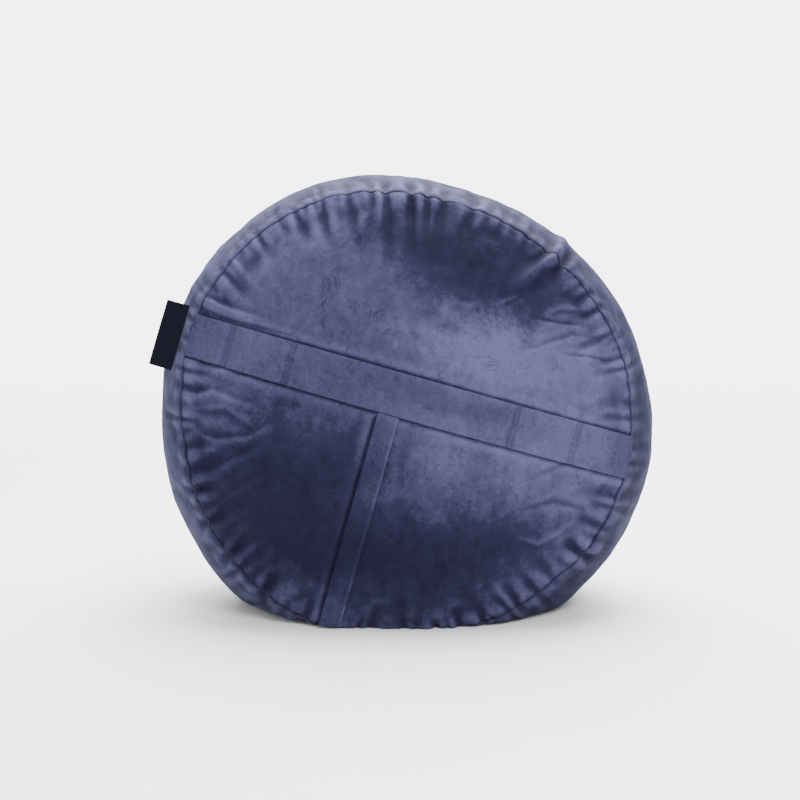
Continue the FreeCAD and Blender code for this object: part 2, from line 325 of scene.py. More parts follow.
def gatherCloth(piece):
    # the seams pull in against fuller cloth, and the foam pushes out, so the cloth crumples between the seams
    random = np.random.default_rng(skin["seed"])
    rest, angle = coarse["rest"], coarse["angle"]
    wobble = smoothed(random.normal(0, 1, (len(rest), 3)), skinEdges, 2)
    setCoords(piece.data, rest + wobble * gathers["roughness"] / wobble.std())
    drawn = np.clip(1 - np.abs(coarse["fromSeam"]) / 0.012, 0, 1)
    uneven = 0.75 + 0.25 * np.sin(angle) + 0.15 * np.sin(5 * angle + 1.0) + 0.12 * np.sin(11 * angle)
    onFloor = rest[:, 2] < 0.004
    cloth = piece.modifiers.new("cloth", "CLOTH")
    sheet = cloth.settings
    sheet.quality = 6
    sheet.mass = 0.25
    sheet.tension_stiffness = 25
    sheet.compression_stiffness = 25
    sheet.shear_stiffness = 8
    sheet.bending_stiffness = 0.6
    sheet.air_damping = 3
    sheet.use_pressure = True
    sheet.uniform_pressure_force = gathers["pressure"]
    sheet.shrink_min = gathers["slack"]
    sheet.shrink_max = gathers["seamShrink"]
    sheet.vertex_group_shrink = namedWeights(piece, "drawn", drawn * np.clip(uneven, 0.2, 1))
    sheet.vertex_group_mass = namedWeights(piece, "onFloor", onFloor.astype(float))
    sheet.effector_weights.gravity = 0
    cloth.collision_settings.use_collision = False
    scene = bpy.context.scene
    cloth.point_cache.frame_end = gathers["frames"]
    for step in range(1, gathers["frames"] + 1):
        scene.frame_set(step)
    ready = piece.evaluated_get(bpy.context.evaluated_depsgraph_get())
    shaped = coordsOf(ready.data)
    piece.modifiers.clear()
    piece.vertex_groups.clear()
    scene.frame_set(1)
    return shaped


crumple = np.zeros_like(coarse["rest"])
crumple = gatherCloth(template) - coarse["rest"]
broad = smoothed(crumple, skinEdges, gathers["broadRounds"])
fine = smoothed(crumple - broad, skinEdges, 1)
lift = np.linalg.norm(fine, axis=1, keepdims=True)
fine *= gathers["mostLift"] * np.tanh(lift / gathers["mostLift"]) / np.maximum(lift, 1e-9)
print("cloth moved up to", round(float(np.linalg.norm(crumple, axis=1).max()), 4),
      "of that fine", round(float(lift.max()), 4))
besideSeam = 1 - smoothStep(coarse["fromSeam"], 0.03, 0.12)
stays = gathers["middleShare"] + (gathers["seamShare"] - gathers["middleShare"]) * besideSeam
crumple = fine * stays[:, None]

# the same form at twice the fineness, with the crumpling carried over
setCoords(template.data, coarse["flat"])
fineTemplate = finer(template, "SIMPLE")
full = describe(coordsOf(fineTemplate.data))
setCoords(template.data, coarse["rest"])
coarseNormals = normalsOf(template.data)
setCoords(template.data, coarse["rest"] + crumple)
cover = finer(template, "CATMULL_CLARK")
cover.name = "coverSkin"
bpy.data.objects.remove(fineTemplate)
setCoords(template.data, coarse["rest"])
roundForm = finer(template, "CATMULL_CLARK")
fineCrumple = coordsOf(cover.data) - coordsOf(roundForm.data)
bpy.data.objects.remove(roundForm)
fullEdges = edgesOf(cover.data)
setCoords(cover.data, full["rest"])
fullNormals = normalsOf(cover.data)
print("cover skin", len(full["rest"]), "points")

strap = {
    "low": 0.008, "high": 0.084,                  # its edges, up the face
    "gripStart": -0.210, "gripEnd": 0.186,        # the free part, along the strap
    "rows": (-0.332, -0.325, -0.218, -0.211, 0.187, 0.194, 0.301, 0.308),
    "rise": 0.0036, "thickness": 0.0030,
    "cellsAlong": 150, "cellsAcross": 16,
    "dent": 0.0017, "dentWidth": 0.0026, "rowShade": 0.16,
}
zipLine = {"along": -0.024, "opening": 0.0045, "top": 0.005}
placket = {
    "left": -0.043, "right": -0.005, "top": 0.0072,
    "rise": 0.0056, "sewnRise": 0.0026, "thickness": 0.0024,
    "cellsAcross": 14, "cellsAlong": 130,
    "hemRow": -0.0105, "roll": 0.0014, "rollNap": 0.20,
}

# gathers along a seam: degrees round from +X, height of the fold, its width, and its reach over panel and band
foldMarks = [
    (103.5, -0.0066, 0.0080, 0.125, 0.12, 0.05), (97.5, -0.0046, 0.0065, 0.085, 0.10, 0.00),
    (94.0, -0.0080, 0.0075, 0.165, 0.18, 0.02), (90.3, 0.0030, 0.0070, 0.110, 0.16, 0.0),
    (87.2, -0.0078, 0.0070, 0.160, 0.12, -0.02), (83.0, -0.0058, 0.0065, 0.135, 0.18, 0.0),
    (78.6, -0.0070, 0.0080, 0.145, 0.12, 0.03), (70.5, -0.0052, 0.0080, 0.090, 0.19, 0.05),
    (62.0, -0.0050, 0.0070, 0.055, 0.19, 0.05), (54.5, -0.0050, 0.0070, 0.045, 0.18, 0.05),
    (46.4, 0.0125, 0.0085, 0.125, 0.200, 0.150), (43.0, -0.0105, 0.0055, 0.045, 0.110, 0.05),
    (41.0, -0.0035, 0.0060, 0.090, 0.03, 0.150), (37.5, 0.0030, 0.0060, 0.085, 0.03, 0.12),
    (33.0, -0.0060, 0.0060, 0.050, 0.030, 0.10), (28.5, -0.0050, 0.0055, 0.060, 0.03, 0.02),
    (21.5, -0.0042, 0.0050, 0.110, 0.03, 0.00), (15.0, -0.0034, 0.0050, 0.090, 0.03, -0.02),
    (-21.0, -0.0050, 0.0075, 0.100, 0.04, 0.02), (-29.0, -0.0048, 0.0070, 0.080, 0.05, 0.05),
    (-37.4, -0.0125, 0.0065, 0.058, 0.055, 0.10), (-34.0, 0.0050, 0.0100, 0.090, 0.06, 0.10),
    (-47.0, -0.0050, 0.0075, 0.095, 0.05, 0.12), (-58.0, -0.0050, 0.0070, 0.085, 0.04, 0.05),
    (-68.0, -0.0068, 0.0060, 0.060, 0.03, 0.0), (-74.5, -0.0062, 0.0060, 0.075, 0.03, 0.0),
    (-80.5, -0.0080, 0.0060, 0.050, 0.03, 0.0), (-128.0, -0.0115, 0.0080, 0.085, 0.045, -0.05),
    (-141.0, -0.0115, 0.0080, 0.105, 0.050, -0.10), (-151.5, -0.0115, 0.0075, 0.090, 0.055, -0.05),
    (-160.5, -0.0115, 0.0072, 0.070, 0.060, 0.0), (-166.0, -0.0050, 0.0110, 0.130, 0.05, -0.16),
    (-172.5, -0.0056, 0.0110, 0.140, 0.05, -0.12), (172.0, -0.0050, 0.0080, 0.090, 0.05, 0.0),
    (141.0, -0.0035, 0.0050, 0.075, 0.03, 0.05), (137.5, 0.0030, 0.0050, 0.080, 0.03, 0.05),
    (128.5, -0.0038, 0.0050, 0.070, 0.03, 0.05), (117.5, -0.0050, 0.0060, 0.080, 0.04, 0.05),
]
gatherRun = {
    "spacing": (0.013, 0.040),
    "depth": (0.0018, 0.0066),
    "width": (0.0042, 0.0095),
    "panelReach": (0.035, 0.105),
    "bandReach": (0.050, 0.190),
    "longer": [(-158, 0.75), (90, 0.45), (-30, 0.25)],     # where round the seam folds run further in
    "slant": 0.14, "bandShare": 0.75,
    "clearOfMarks": 0.013, "markScale": 1.3,
    "groove": 0.0030, "grooveWidth": 0.0034, "grooveUneven": 0.7,
    "swell": 0.0022, "swellAt": 0.018,
}


def looseFolds(random, marks):
    # folds at uneven steps round a seam, passing by the ones that are placed
    folds = [(degrees, height * gatherRun["markScale"], *rest) for degrees, height, *rest in marks]
    taken = np.radians([mark[0] for mark in marks])
    angle = -math.pi
    reach = cushion["halfWidth"] * 0.93
    while angle < math.pi:
        angle += random.uniform(*gatherRun["spacing"]) / reach
        away = np.abs((taken - angle + math.pi) % (2 * math.pi) - math.pi) * reach
        size = [random.uniform(*gatherRun[name]) for name in ("depth", "width", "panelReach", "bandReach")]
        longer = sum(extra * math.exp(-((angle - math.radians(middle)) / 0.45) ** 2)
                     for middle, extra in gatherRun["longer"])
        size[1:3] = size[1] * (1 + 0.4 * longer), size[2] * (1 + longer)
        slant = random.normal(0, gatherRun["slant"])
        if len(taken) and away.min() < gatherRun["clearOfMarks"]:
            continue
        folds.append((math.degrees(angle), -size[0], size[1], size[2], size[3], slant))
    return folds


def gathered(places, folds, front):
    # how far the folds of one seam lift or sink each place
    lift = np.zeros(len(places["angle"]))
    here = places["front"] == front
    angle, fromSeam = places["angle"], places["fromSeam"]
    for degrees, height, width, panelReach, bandReach, slant in folds:
        turn = (angle - math.radians(degrees) + math.pi) % (2 * math.pi) - math.pi
        near = np.flatnonzero(here & (np.abs(turn) < 0.30) & (fromSeam < panelReach) & (fromSeam > -bandReach))
        inward = fromSeam[near]
        share = np.where(inward > 0, inward / panelReach, -inward / bandReach)
        side = turn[near] * (places["rim"][near] - np.maximum(inward, 0)) - slant * np.maximum(inward, 0)
        spread = width * (1 + 0.9 * share)
        fading = (1 - share) ** 2 * (1 + 2 * share)
        tied = 0.55 + 0.45 * smoothStep(np.abs(inward), 0, 0.016)
        valley = np.exp(-(side / spread) ** 2)
        shoulder = np.exp(-((np.abs(side) - 1.9 * spread) / spread) ** 2)
        onBandSide = np.where(inward < -0.004, gatherRun["bandShare"], 1)
        lift[near] += height * fading * tied * onBandSide * (valley - 0.20 * shoulder)
    return lift


def alongPath(points, x, z):
    # distance to a bent line on the face, and how far along it the nearest place lies
    nearest, where = np.full(len(x), 9.0), np.zeros(len(x))
    steps = len(points) - 1
    for index in range(steps):
        start, end = np.array(points[index]), np.array(points[index + 1])
        run = end - start
        share = np.clip(((x - start[0]) * run[0] + (z - start[1]) * run[1]) / (run @ run), 0, 1)
        away = np.hypot(x - start[0] - share * run[0], z - start[1] - share * run[1])
        side = np.sign((x - start[0]) * run[1] - (z - start[1]) * run[0])
        closer = away < np.abs(nearest)
        nearest = np.where(closer, away * np.where(side == 0, 1, side), nearest)
        where = np.where(closer, (index + share) / steps, where)
    return nearest, where


# creases that lie on the face: their line in x and z, height and width
creases = [
    ([(-0.362, 0.574), (-0.318, 0.556), (-0.250, 0.540), (-0.190, 0.527)], -0.0046, 0.0050),
    ([(-0.352, 0.590), (-0.300, 0.566), (-0.240, 0.552)], 0.0030, 0.0060),
    ([(0.205, 0.593), (0.165, 0.578)], 0.0030, 0.0045),
    ([(0.330, 0.570), (0.280, 0.571), (0.250, 0.560)], 0.0026, 0.0050),
    ([(0.330, 0.540), (0.270, 0.548), (0.228, 0.556)], -0.0026, 0.0050),
    ([(0.360, 0.520), (0.300, 0.525), (0.245, 0.510), (0.205, 0.500)], -0.0020, 0.0060),
    ([(0.375, 0.478), (0.330, 0.486), (0.285, 0.492)], -0.0026, 0.0038),
    ([(-0.380, 0.415), (-0.330, 0.425), (-0.255, 0.400)], 0.0042, 0.0090),
    ([(-0.372, 0.385), (-0.310, 0.392), (-0.250, 0.352)], -0.0046, 0.0120),
    ([(-0.375, 0.350), (-0.330, 0.340), (-0.270, 0.345), (-0.220, 0.372)], 0.0040, 0.0100),
    ([(-0.350, 0.270), (-0.300, 0.300), (-0.240, 0.330)], 0.0036, 0.0110),
    ([(-0.335, 0.215), (-0.290, 0.250), (-0.235, 0.285)], 0.0030, 0.0100),
    ([(0.325, 0.215), (0.270, 0.235), (0.215, 0.222)], -0.0030, 0.0080),
    ([(0.345, 0.290), (0.290, 0.300), (0.230, 0.278)], -0.0024, 0.0070),
    ([(0.300, 0.190), (0.240, 0.160), (0.200, 0.175)], 0.0030, 0.0080),
]
swells = {"size": 0.0042, "across": 0.20, "small": 0.0011, "smallAcross": 0.055}


def creased(places):
    x, z = places["rest"][:, 0], places["rest"][:, 2]
    onFace = places["front"] & (places["fromSeam"] > 0)
    lift = np.zeros(len(x))
    for points, height, width in creases:
        side, where = alongPath(points, x, z)
        width = np.where(side > 0, width, 0.55 * width)     # one flank is steeper
        lift += height * np.exp(-(side / width) ** 2) * np.sin(np.pi * np.clip(0.12 + 0.80 * where, 0, 1))
    return np.where(onFace, lift, 0)


def noiseAt(points, across, offset, octaves=2):
    spots = points / across + np.array(offset)
    return np.array([noise.fractal(Vector(spot), 0.6, 2.1, octaves, noise_basis="PERLIN_ORIGINAL")
                     for spot in spots])


def strapEffect(places):
    # the taut strap beds into the cloth, which swells up beside its edges
    up = places["face"][:, 1]
    onFace = places["front"] & (places["fromSeam"] > 0)
    outside = np.maximum(strap["low"] - up, up - strap["high"])
    lift = 0.0010 * np.exp(-((outside - 0.013) / 0.010) ** 2) * (outside > -0.002)
    lift -= 0.0036 * np.exp(-((outside - 0.001) / 0.0034) ** 2)
    lift -= 0.0010 * smoothStep(-outside, 0, 0.006)
    openFold = placket["left"] - 0.002 - places["face"][:, 0]
    below = 1 - smoothStep(up, strap["low"] - 0.014, strap["low"] - 0.004)
    lift += 0.0008 * below * np.exp(-((openFold - 0.012) / 0.009) ** 2)
    lift -= 0.0036 * below * np.exp(-(openFold / 0.0036) ** 2)
    return np.where(onFace, lift, 0)


def calmShare(places):
    # 0 where the placket has to lie close, 1 where the cloth is free
    along, up = places["face"][:, 0], places["face"][:, 1]
    onFace = places["front"] & (places["fromSeam"] > 0)
    beside = np.abs(along - zipLine["along"])
    below = 1 - smoothStep(up, -0.002, 0.038)
    share = 1 - below * (1 - smoothStep(beside, 0.021, 0.050))
    outside = np.maximum(strap["low"] - up, up - strap["high"])
    share = share * (1 - 0.55 * smoothStep(-outside, -0.012, 0.010))
    return np.where(onFace, share, 1)


random = np.random.default_rng(skin["seed"])
frontFolds = looseFolds(random, foldMarks)
backFolds = looseFolds(random, [(degrees + 17, *rest) for degrees, *rest in foldMarks[::3]])


def lifted(places):
    fromSeam = places["fromSeam"]
    lift = gathered(places, frontFolds, True) + gathered(places, backFolds, False) + creased(places)
    lift += swells["size"] * noiseAt(places["rest"], swells["across"], (3.1, 0.4, 1.7))
    lift += swells["small"] * noiseAt(places["rest"], swells["smallAcross"], (0.3, 5.4, 2.7), 3)
    lift *= calmShare(places)
    uneven = 1 + gatherRun["grooveUneven"] * noiseAt(places["rest"], 0.035, (6.1, 2.3, 0.9))
    lift -= gatherRun["groove"] * uneven * np.exp(-(fromSeam / gatherRun["grooveWidth"]) ** 2)
    swell = gatherRun["swell"] * np.where(fromSeam > 0, 1, gatherRun["bandShare"])
    lift += swell * np.exp(-((np.abs(fromSeam) - gatherRun["swellAt"]) / 0.012) ** 2)
    return lift + strapEffect(places)


def settledOnFloor(coords):
    coords[:, 2] = np.maximum(coords[:, 2], floorLevel)
    return coords


coverShape = full["rest"] + fullNormals * lifted(full)[:, None] + fineCrumple * calmShare(full)[:, None]
setCoords(cover.data, settledOnFloor(coverShape))
markPanels(cover, full["flat"][:, 2])
markPanels(template, coarse["flat"][:, 2])
coverNormals = normalsOf(cover.data)
coarseLift = coarseNormals * lifted(coarse)[:, None] + crumple * calmShare(coarse)[:, None]
print("folds laid", len(frontFolds), "front", len(backFolds), "back")

# how the pile lies, with painted light and shade: patches of lighter and darker pile, partly the pile's own tone and
# partly painted light and shade, darker at the lower left, the bottom and the top, lighter across the middle and right
napPatchesAndPaintedLight = [
    (0.160, 0.640, 0.170, 0.085, -14, -0.46), (0.030, 0.715, 0.130, 0.050, -6, -0.34),
    (-0.230, 0.600, 0.130, 0.120, 30, 0.10), (-0.050, 0.580, 0.120, 0.080, -20, 0.06),
    (0.230, 0.480, 0.200, 0.075, -12, 0.34), (0.100, 0.500, 0.150, 0.060, -14, 0.16),
    (0.290, 0.330, 0.110, 0.110, -25, 0.24), (0.120, 0.320, 0.130, 0.060, -20, 0.20),
    (-0.240, 0.220, 0.175, 0.155, 25, -0.56), (0.020, 0.130, 0.210, 0.090, 0, -0.50),
    (-0.060, 0.300, 0.090, 0.080, 0, -0.12), (0.200, 0.170, 0.110, 0.060, -30, -0.10),
    (-0.330, 0.450, 0.070, 0.090, 0, 0.05), (0.010, 0.400, 0.080, 0.030, -14, 0.10),
]
napRange = {"middle": 0.55, "band": 0.52, "back": 0.50, "ragged": 0.022, "raggedAcross": 0.05,
            "strap": 0.05}


def napAndPaintedLightAt(points, front=True):
    ragged = napRange["ragged"] * noiseAt(points, napRange["raggedAcross"], (7.7, 1.2, 4.4), 4)
    x, z = points[:, 0] + ragged, points[:, 2] - 1.3 * ragged
    front = np.broadcast_to(front, x.shape)
    nap = np.where(front, napRange["middle"], napRange["back"])
    for patchX, patchZ, reachX, reachZ, turn, strength in napPatchesAndPaintedLight:
        cosine, sine = math.cos(math.radians(turn)), math.sin(math.radians(turn))
        side = np.where(front, 1, -0.85)
        across = ((x - side * patchX) * cosine + (z - patchZ) * sine) / reachX
        along = ((z - patchZ) * cosine - (x - side * patchX) * sine) / reachZ
        nap = nap + strength * (1 - smoothStep(np.hypot(across, along), 0.25, 1.45))
    return np.clip(nap, 0, 1)


def giveNapAndPaintedLight(mesh, nap):
    layer = mesh.attributes.new("nap", "FLOAT", "POINT")
    layer.data.foreach_set("value", np.ascontiguousarray(nap, dtype=np.float32))


# painted light and shade: the pile is painted lighter on ridges and darker in hollows, and painted dark as shade along
# the seam's groove
relief = np.einsum("ij,ij->i", coverShape - full["rest"], fullNormals)[:, None]
relief = (relief - smoothed(relief, fullEdges, 14))[:, 0]
paintedFoldLightAndShade = 0.30 * np.tanh(relief / 0.0018)
seamShade = 0.05 * np.exp(-(full["fromSeam"] / 0.0045) ** 2)
onBand = full["fromSeam"] < 0
coverNapAndPaintedLight = napAndPaintedLightAt(coverShape, full["front"])
bandNapAndShade = napRange["band"] + 0.16 * noiseAt(coverShape, 0.16, (2.2, 8.1, 0.6), 3)
# painted shade: the band is painted darker on its right side, towards +X
bandNapAndShade -= 0.24 * np.maximum(np.cos(full["angle"]), 0)
bandward = smoothStep(-full["fromSeam"], 0.0, 0.030)
coverNapAndPaintedLight = np.where(onBand, coverNapAndPaintedLight * (1 - bandward) + bandNapAndShade * bandward, coverNapAndPaintedLight)
# the cover's attribute holds the pile's tone together with the painted light and shade
giveNapAndPaintedLight(cover.data, np.clip(coverNapAndPaintedLight + paintedFoldLightAndShade - seamShade, 0, 1))


class Value:
    # a shader socket that can be written in a sum
    def __init__(self, tree, socket):
        self.tree, self.socket = tree, socket

    def put(self, operation, first, second=None, third=None):
        node = self.tree.nodes.new("ShaderNodeMath")
        node.operation = operation
        for index, value in enumerate((first, second, third)):
            if isinstance(value, Value):
                self.tree.links.new(value.socket, node.inputs[index])
            elif value is not None:
                node.inputs[index].default_value = value
        return Value(self.tree, node.outputs[0])

    def __add__(self, other):
        return self.put("ADD", self, other)

    def __radd__(self, other):
        return self.put("ADD", other, self)

    def __sub__(self, other):
        return self.put("SUBTRACT", self, other)

    def __rsub__(self, other):
        return self.put("SUBTRACT", other, self)

    def __mul__(self, other):
        return self.put("MULTIPLY", self, other)

    def __rmul__(self, other):
        return self.put("MULTIPLY", other, self)

    def __truediv__(self, other):
        return self.put("DIVIDE", self, other)

    def __pow__(self, other):
        return self.put("POWER", self, other)

    def __abs__(self):
        return self.put("ABSOLUTE", self)

    def least(self, other):
        return self.put("MINIMUM", self, other)

    def most(self, other):
        return self.put("MAXIMUM", self, other)

    def wave(self):
        return self.put("SINE", self)


class Finish:
    def __init__(self, name):
        self.material = bpy.data.materials.new(name)
        self.material.use_nodes = True
        self.tree = self.material.node_tree
        self.tree.nodes.clear()

    def node(self, kind, settings=None, output=0, **inputs):
        node = self.tree.nodes.new(kind)
        for name, value in (settings or {}).items():
            if name == "stops":
                while len(node.color_ramp.elements) < len(value):
                    node.color_ramp.elements.new(0.5)
                for element, (place, colour) in zip(node.color_ramp.elements, value):
                    element.position, element.color = place, colour
            else:
                setattr(node, name, value)
        for name, value in inputs.items():
            socket = node.inputs[int(name[1:]) if name[1:].isdigit() else name.replace("_", " ")]
            if isinstance(value, Value):
                self.tree.links.new(value.socket, socket)
            else:
                socket.default_value = value
        return Value(self.tree, node.outputs[output])

    def places(self, scale=(1, 1, 1), turn=(0, 0, 0)):
        spot = self.node("ShaderNodeTexCoord", output="Object")
        return self.node("ShaderNodeMapping", Vector=spot, Scale=scale, Rotation=turn)

    def noise(self, places, scale, detail=2, roughness=0.5, distortion=0.0):
        return self.node("ShaderNodeTexNoise", Vector=places, Scale=scale, Detail=detail,
                         Roughness=roughness, Distortion=distortion)

    def span(self, value, low, high):
        return self.node("ShaderNodeMapRange", {"interpolation_type": "SMOOTHSTEP"}, Value=value,
                         From_Min=low, From_Max=high, To_Min=0.0, To_Max=1.0)

    def ramp(self, value, stops):
        return self.node("ShaderNodeValToRGB", {"stops": stops}, Fac=value)

    def finish(self, colour, roughness, height=None, depth=0.001, strength=1.0, **constants):
        shader = self.tree.nodes.new("ShaderNodeBsdfPrincipled")
        for name, value in (("Base Color", colour), ("Roughness", roughness)):
            if isinstance(value, Value):
                self.tree.links.new(value.socket, shader.inputs[name])
            else:
                shader.inputs[name].default_value = value
        for name, value in constants.items():
            shader.inputs[name.replace("_", " ")].default_value = value
        if height is not None:
            bump = self.node("ShaderNodeBump", Height=height, Distance=depth, Strength=strength)
            self.tree.links.new(bump.socket, shader.inputs["Normal"])
        output = self.tree.nodes.new("ShaderNodeOutputMaterial")
        self.tree.links.new(shader.outputs[0], output.inputs["Surface"])
        return self.material


velour = {
    "stops": [(0.0, (0.0056, 0.0053, 0.0180, 1)), (0.35, (0.0130, 0.0125, 0.0340, 1)),
              (0.65, (0.0335, 0.0325, 0.0740, 1)), (1.0, (0.0640, 0.0625, 0.1330, 1))],
    "sheen": 0.06,
    "ior": 1.2,
    "sheenRoughness": 0.40,
    "sheenTint": (0.52, 0.55, 0.90, 1),
    "roughness": 0.80,
}


def velourFinish():
    make = Finish("navyVelour")
    nap = make.node("ShaderNodeAttribute", {"attribute_name": "nap"}, output="Fac")
    spots = make.places()
    crushed = make.places(scale=(1.0, 1.0, 0.62), turn=(0.0, 0.35, 0.0))
    broad = make.noise(spots, 5.5, 3, 0.55, 0.6) - 0.5
    patches = make.noise(crushed, 19.0, 6, 0.66, 1.1) - 0.5
    crumbs = make.noise(crushed, 58.0, 4, 0.68, 0.8) - 0.5
    pile = make.noise(spots, 150.0, 5, 0.72) - 0.5
    fibres = make.noise(spots, 620.0, 2, 0.60) - 0.5
    bent = make.noise(crushed, 13.0, 4, 0.60, 1.8) - 0.5
    hatched = make.noise(make.places(scale=(0.55, 1.0, 1.0), turn=(0.0, -0.5, 0.0)), 34.0, 3, 0.55, 1.2) - 0.5
    sparse = make.span(make.noise(spots, 8.0, 2, 0.5), 0.50, 0.64)
    crease = (1 - make.span(abs(bent), 0.0, 0.013)) * make.span(make.noise(spots, 21.0, 2, 0.5), 0.52, 0.64)
    scratch = (1 - make.span(abs(hatched), 0.0, 0.020)) * sparse
    # the pile attribute brings painted light and shade into the colour, with the pile's own mottling
    brushingAndPaintedLight = nap + broad * 0.20 + patches * 0.30 + crumbs * 0.26 + pile * 0.44 + fibres * 0.16
    shade = brushingAndPaintedLight - crease * 0.20 - scratch * 0.12
    colour = make.ramp(shade, velour["stops"])
    height = patches * 0.8 + crumbs * 0.5 + pile * 0.6 + fibres * 0.16 - crease * 0.8 - scratch * 0.5
    roughness = velour["roughness"] + pile * 0.3 - patches * 0.2
    return make.finish(colour, roughness, height, 0.0016, 0.75, Sheen_Weight=velour["sheen"],
                       Sheen_Roughness=velour["sheenRoughness"], Sheen_Tint=velour["sheenTint"],
                       Specular_IOR_Level=0.3, IOR=velour["ior"])


def wovenFinish(name, dark, light, threads, turn, roughness=0.7, sheen=0.1, gloss=0.2):
    # a plain weave: two thread directions that pass over and under each other
    make = Finish(name)
    across = make.node("ShaderNodeSeparateXYZ", Vector=make.places(turn=turn))
    vertical = make.node("ShaderNodeSeparateXYZ", output=2, Vector=make.places(turn=turn))
    warp = (across * (threads * math.tau)).wave()
    weft = (vertical * (threads * math.tau)).wave()
    weave = warp * weft
    worn = make.noise(make.places(), 60.0, 4, 0.6)
    share = 0.42 + weave * 0.22 + (worn - 0.5) * 0.5
    colour = make.ramp(share, [(0.0, dark), (1.0, light)])
    return make.finish(colour, roughness + (worn - 0.5) * 0.2, weave * 0.5 + worn * 0.5, 0.0004, 0.6,
                       Sheen_Weight=sheen, Sheen_Roughness=0.4, Specular_IOR_Level=gloss)


def speckFinish(name, dark, light, scale, roughness, metallic=0.0, depth=0.0002):
    make = Finish(name)
    specks = make.noise(make.places(), scale, 5, 0.62)
    rubbed = make.noise(make.places(scale=(1, 1, 0.3)), scale * 0.22, 3, 0.5)
    share = specks * 0.6 + rubbed * 0.4
    colour = make.ramp(share, [(0.30, dark), (0.70, light)])
    return make.finish(colour, roughness + (rubbed - 0.5) * 0.25, specks, depth, 0.5, Metallic=metallic)


def foamFinish():
    make = Finish("foamCrumb")
    crumbs = make.node("ShaderNodeTexVoronoi", {"feature": "F1"}, Vector=make.places(), Scale=70.0)
    cells = make.node("ShaderNodeTexNoise", Vector=make.places(), Scale=420.0, Detail=3.0)
    share = 1 - crumbs * 0.9 + (cells - 0.5) * 0.5
    colour = make.ramp(share, [(0.2, (0.32, 0.27, 0.18, 1)), (0.9, (0.78, 0.72, 0.56, 1))])
    return make.finish(colour, 0.9 - (cells - 0.5) * 0.1, 1 - crumbs + cells * 0.3, 0.004, 0.8)


finishes = {
    "velour": velourFinish(),
    "thread": wovenFinish("navyThread", (0.010, 0.011, 0.030, 1), (0.042, 0.044, 0.096, 1), 900, (0.3, 0.5, 0)),
    "label": wovenFinish("wovenLabel", (0.0014, 0.0013, 0.0036, 1), (0.0056, 0.0050, 0.0140, 1), 640,
                         (0, -0.25, 0), 0.9, 0.0, 0.08),
    "zip_tape": wovenFinish("zipTape", (0.010, 0.012, 0.035, 1), (0.045, 0.050, 0.120, 1), 700, (0, 0.28, 0)),
    "zip_coil": speckFinish("zipCoil", (0.012, 0.014, 0.035, 1), (0.035, 0.038, 0.080, 1), 300, 0.42),
    "zip_slider": speckFinish("zipSlider", (0.16, 0.16, 0.17, 1), (0.42, 0.42, 0.44, 1), 260, 0.34, 0.9),
    "liner_cloth": wovenFinish("linerCloth", (0.50, 0.50, 0.48, 1), (0.82, 0.81, 0.77, 1), 500, (0, 0.28, 0)),
    "foam": foamFinish(),
}


def finishedPiece(piece, slot, body, *nodes):
    piece.data.materials.clear()
    piece.data.materials.append(finishes[slot])
    if body:
        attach(piece, body)
    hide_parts(*nodes)
    return piece


def wall(piece, thickness, inward=True):
    solid = piece.modifiers.new("wall", "SOLIDIFY")
    solid.thickness = thickness
    solid.offset = -1 if inward else 1
    return piece


def cutFrom(source, index, cuts, name):
    # the faces of one panel, trimmed at planes through the face's ball centre; (direction, offset, kept side)
    bm = bmesh.new()
    bm.from_mesh(source.data)
    bmesh.ops.delete(bm, geom=[face for face in bm.faces if face.material_index != index], context="FACES")
    for direction, offset, keep in cuts:
        point = Vector(ballCentre + np.array(direction) * offset)
        everything = list(bm.verts) + list(bm.edges) + list(bm.faces)
        bmesh.ops.bisect_plane(bm, geom=everything, dist=1e-6, plane_co=point, plane_no=Vector(direction),
                               clear_outer=keep < 0, clear_inner=keep > 0)
    for face in bm.faces:
        face.material_index = 0
    return newObject(name, bm)


strapMiddle = (strap["low"] + strap["high"]) / 2
gapLeft, gapRight = zipLine["along"] - zipLine["opening"], zipLine["along"] + zipLine["opening"]
panelCuts = {
    "handlePanelUpper": ("handle_panel_upper", 0, [(upFace, strapMiddle, 1)], (0.84, 0.45), 0.253),
    "handlePanelLeft": ("handle_panel_left", 0, [(upFace, strapMiddle, -1), (alongStrap, gapLeft, -1)],
                        (0.44, 0.46), 0.141),
    "handlePanelRight": ("handle_panel_right", 0, [(upFace, strapMiddle, -1), (alongStrap, gapRight, 1)],
                         (0.46, 0.46), 0.162),
    "sideBand": ("side_band", 1, [], (2.68, 0.42), None),
    "seatPanel": ("seat_panel", 2, [], (0.87, 0.86), 0.59),
}
for name, (node, index, cuts, flat, area) in panelCuts.items():
    panel = wall(cutFrom(cover, index, cuts, name), cushion["plush"])
    finishedPiece(panel, "velour", "root", node)
print("panels cut")

coverTree = BVHTree.FromPolygons([Vector(co) for co in coverShape],
                                 [tuple(face.vertices) for face in cover.data.polygons])


def skinHeight(along, up):
    # the cover's height over the face's ball, looking in from outside
    along, up = np.broadcast_arrays(np.asarray(along, float), np.asarray(up, float))
    starts = fromFace(along.ravel(), up.ravel(), 0.06)
    heights = np.zeros(len(starts))
    centre = Vector(ballCentre)
    for index, start in enumerate(starts):
        start = Vector(start)
        hit = coverTree.ray_cast(start, (centre - start).normalized(), 0.12)[0]
        if hit is not None:
            heights[index] = (hit - centre).length - cushion["crownRadius"]
    return heights.reshape(along.shape)


def seamOnFace(fixed, fixedIsUp, side):
    # where a straight line on the face runs into the seam
    near, far = np.zeros_like(fixed), np.full_like(fixed, side * 0.60)
    for _ in range(34):
        middle = (near + far) / 2
        spots = fromFace(middle, fixed, 0) if fixedIsUp else fromFace(fixed, middle, 0)
        x, z = spots[:, 0], spots[:, 2] - cushion["axisHeight"]
        inside = np.hypot(x, z) < seamReach(np.arctan2(z, x))
        near, far = np.where(inside, middle, near), np.where(inside, far, middle)
    return near


